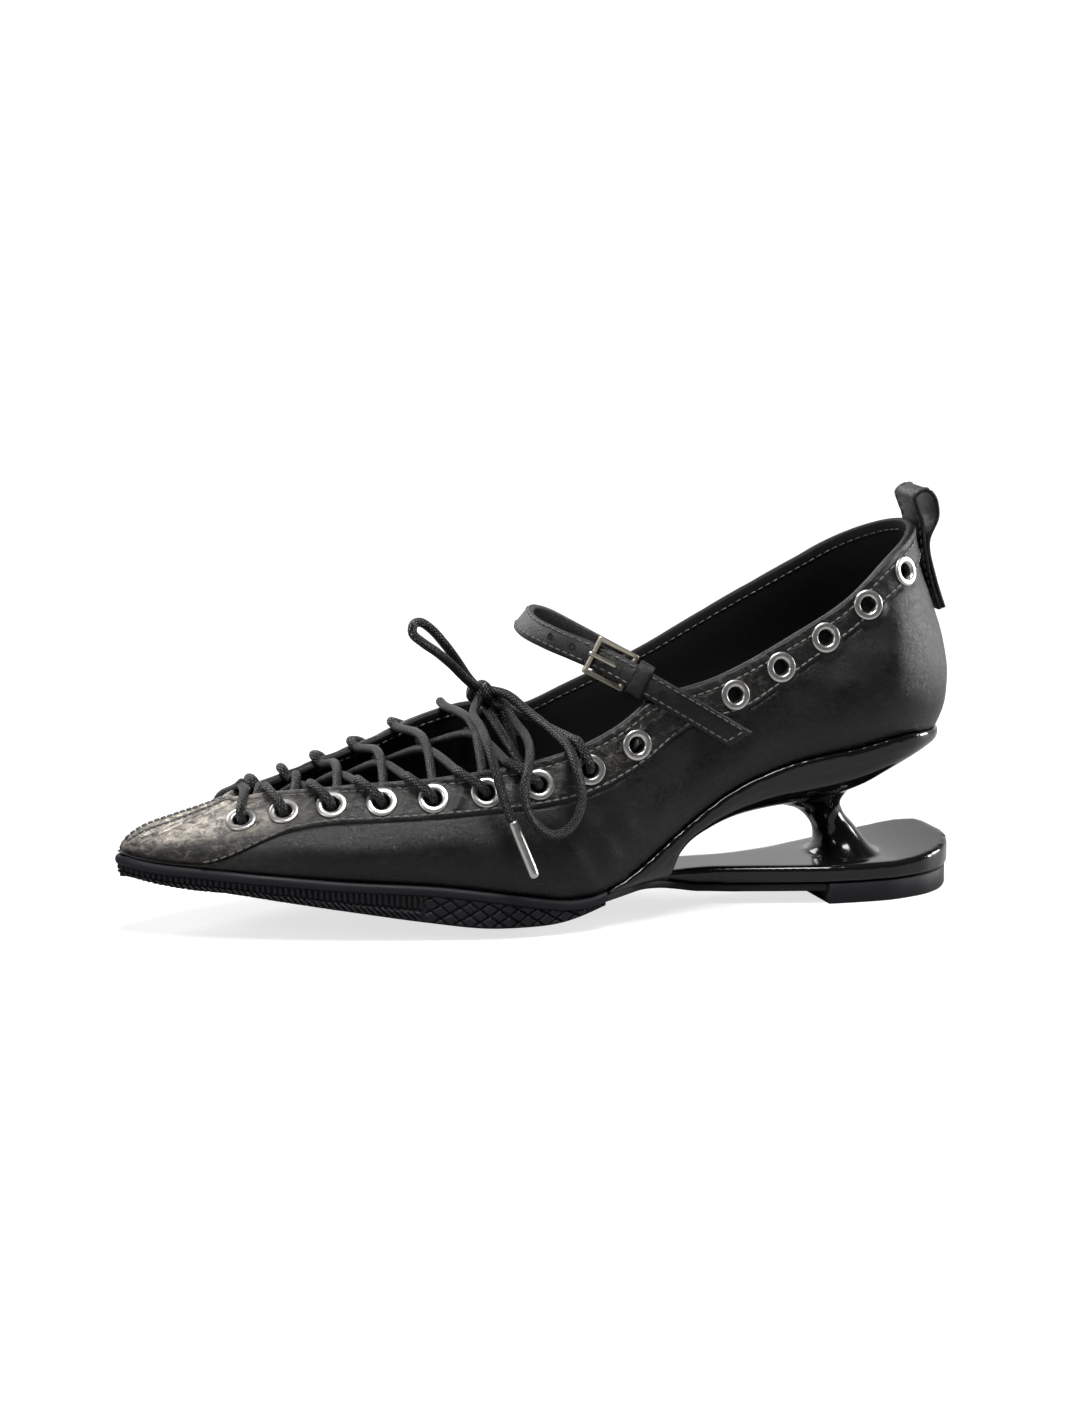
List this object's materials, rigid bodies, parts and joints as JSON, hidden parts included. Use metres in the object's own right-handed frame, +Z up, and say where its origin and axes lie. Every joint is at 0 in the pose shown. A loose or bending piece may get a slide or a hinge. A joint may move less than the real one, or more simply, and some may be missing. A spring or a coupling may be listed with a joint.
{
  "type": "lace up heel",
  "caption": "Left women's pointed lace up shoe with an open sculpted heel unit, eyelet rows along a long open throat, a buckled instep strap and a heel pull loop.",
  "frame": {"origin": "middle of the shoe's box without its free lace ends, at the floor it stands on", "axes": "+X from toe to heel, -Y towards the outer side of the foot (buckle side), +Z up"},
  "size_m": [0.2598, 0.0902, 0.122],
  "materials": {
    "upper_leather": "polished black grained leather",
    "insole_lining": "smooth black lining leather over board",
    "sole_rubber": "matte charcoal rubber",
    "heel_gloss": "gloss black moulding",
    "trim_metal": "nickel plated, lightly satin",
    "lace_cord": "round braided waxed cord"
  },
  "bodies": {
    "root": {"upper": "upper_leather", "insole": "insole_lining", "outsole": "sole_rubber", "heel_unit": "heel_gloss", "waist_sole": "sole_rubber", "heel_lift": "sole_rubber", "strap": "upper_leather", "strap_tab": "upper_leather", "keeper": "upper_leather", "buckle_frame": "trim_metal", "buckle_prong": "trim_metal", "pull_loop": "upper_leather", "eyelet_outer_01": "trim_metal", "eyelet_outer_02": "trim_metal", "eyelet_outer_03": "trim_metal", "eyelet_outer_04": "trim_metal", "eyelet_outer_05": "trim_metal", "eyelet_outer_06": "trim_metal", "eyelet_outer_07": "trim_metal", "eyelet_outer_08": "trim_metal", "eyelet_outer_09": "trim_metal", "eyelet_outer_10": "trim_metal", "eyelet_outer_11": "trim_metal", "eyelet_outer_12": "trim_metal", "eyelet_outer_13": "trim_metal", "eyelet_outer_14": "trim_metal", "eyelet_inner_01": "trim_metal", "eyelet_inner_02": "trim_metal", "eyelet_inner_03": "trim_metal", "eyelet_inner_04": "trim_metal", "eyelet_inner_05": "trim_metal", "eyelet_inner_06": "trim_metal", "eyelet_inner_07": "trim_metal", "eyelet_inner_08": "trim_metal", "eyelet_inner_09": "trim_metal", "eyelet_inner_10": "trim_metal", "eyelet_inner_11": "trim_metal", "eyelet_inner_12": "trim_metal", "eyelet_inner_13": "trim_metal", "eyelet_inner_14": "trim_metal", "lace_crossings": "lace_cord", "lace_knot": "lace_cord", "lace_loop_up": "lace_cord", "lace_loop_down": "lace_cord", "lace_end_outer": "lace_cord", "lace_end_inner": "lace_cord", "lace_tip_outer": "trim_metal", "lace_tip_inner": "trim_metal"}
  },
  "joints": []
}
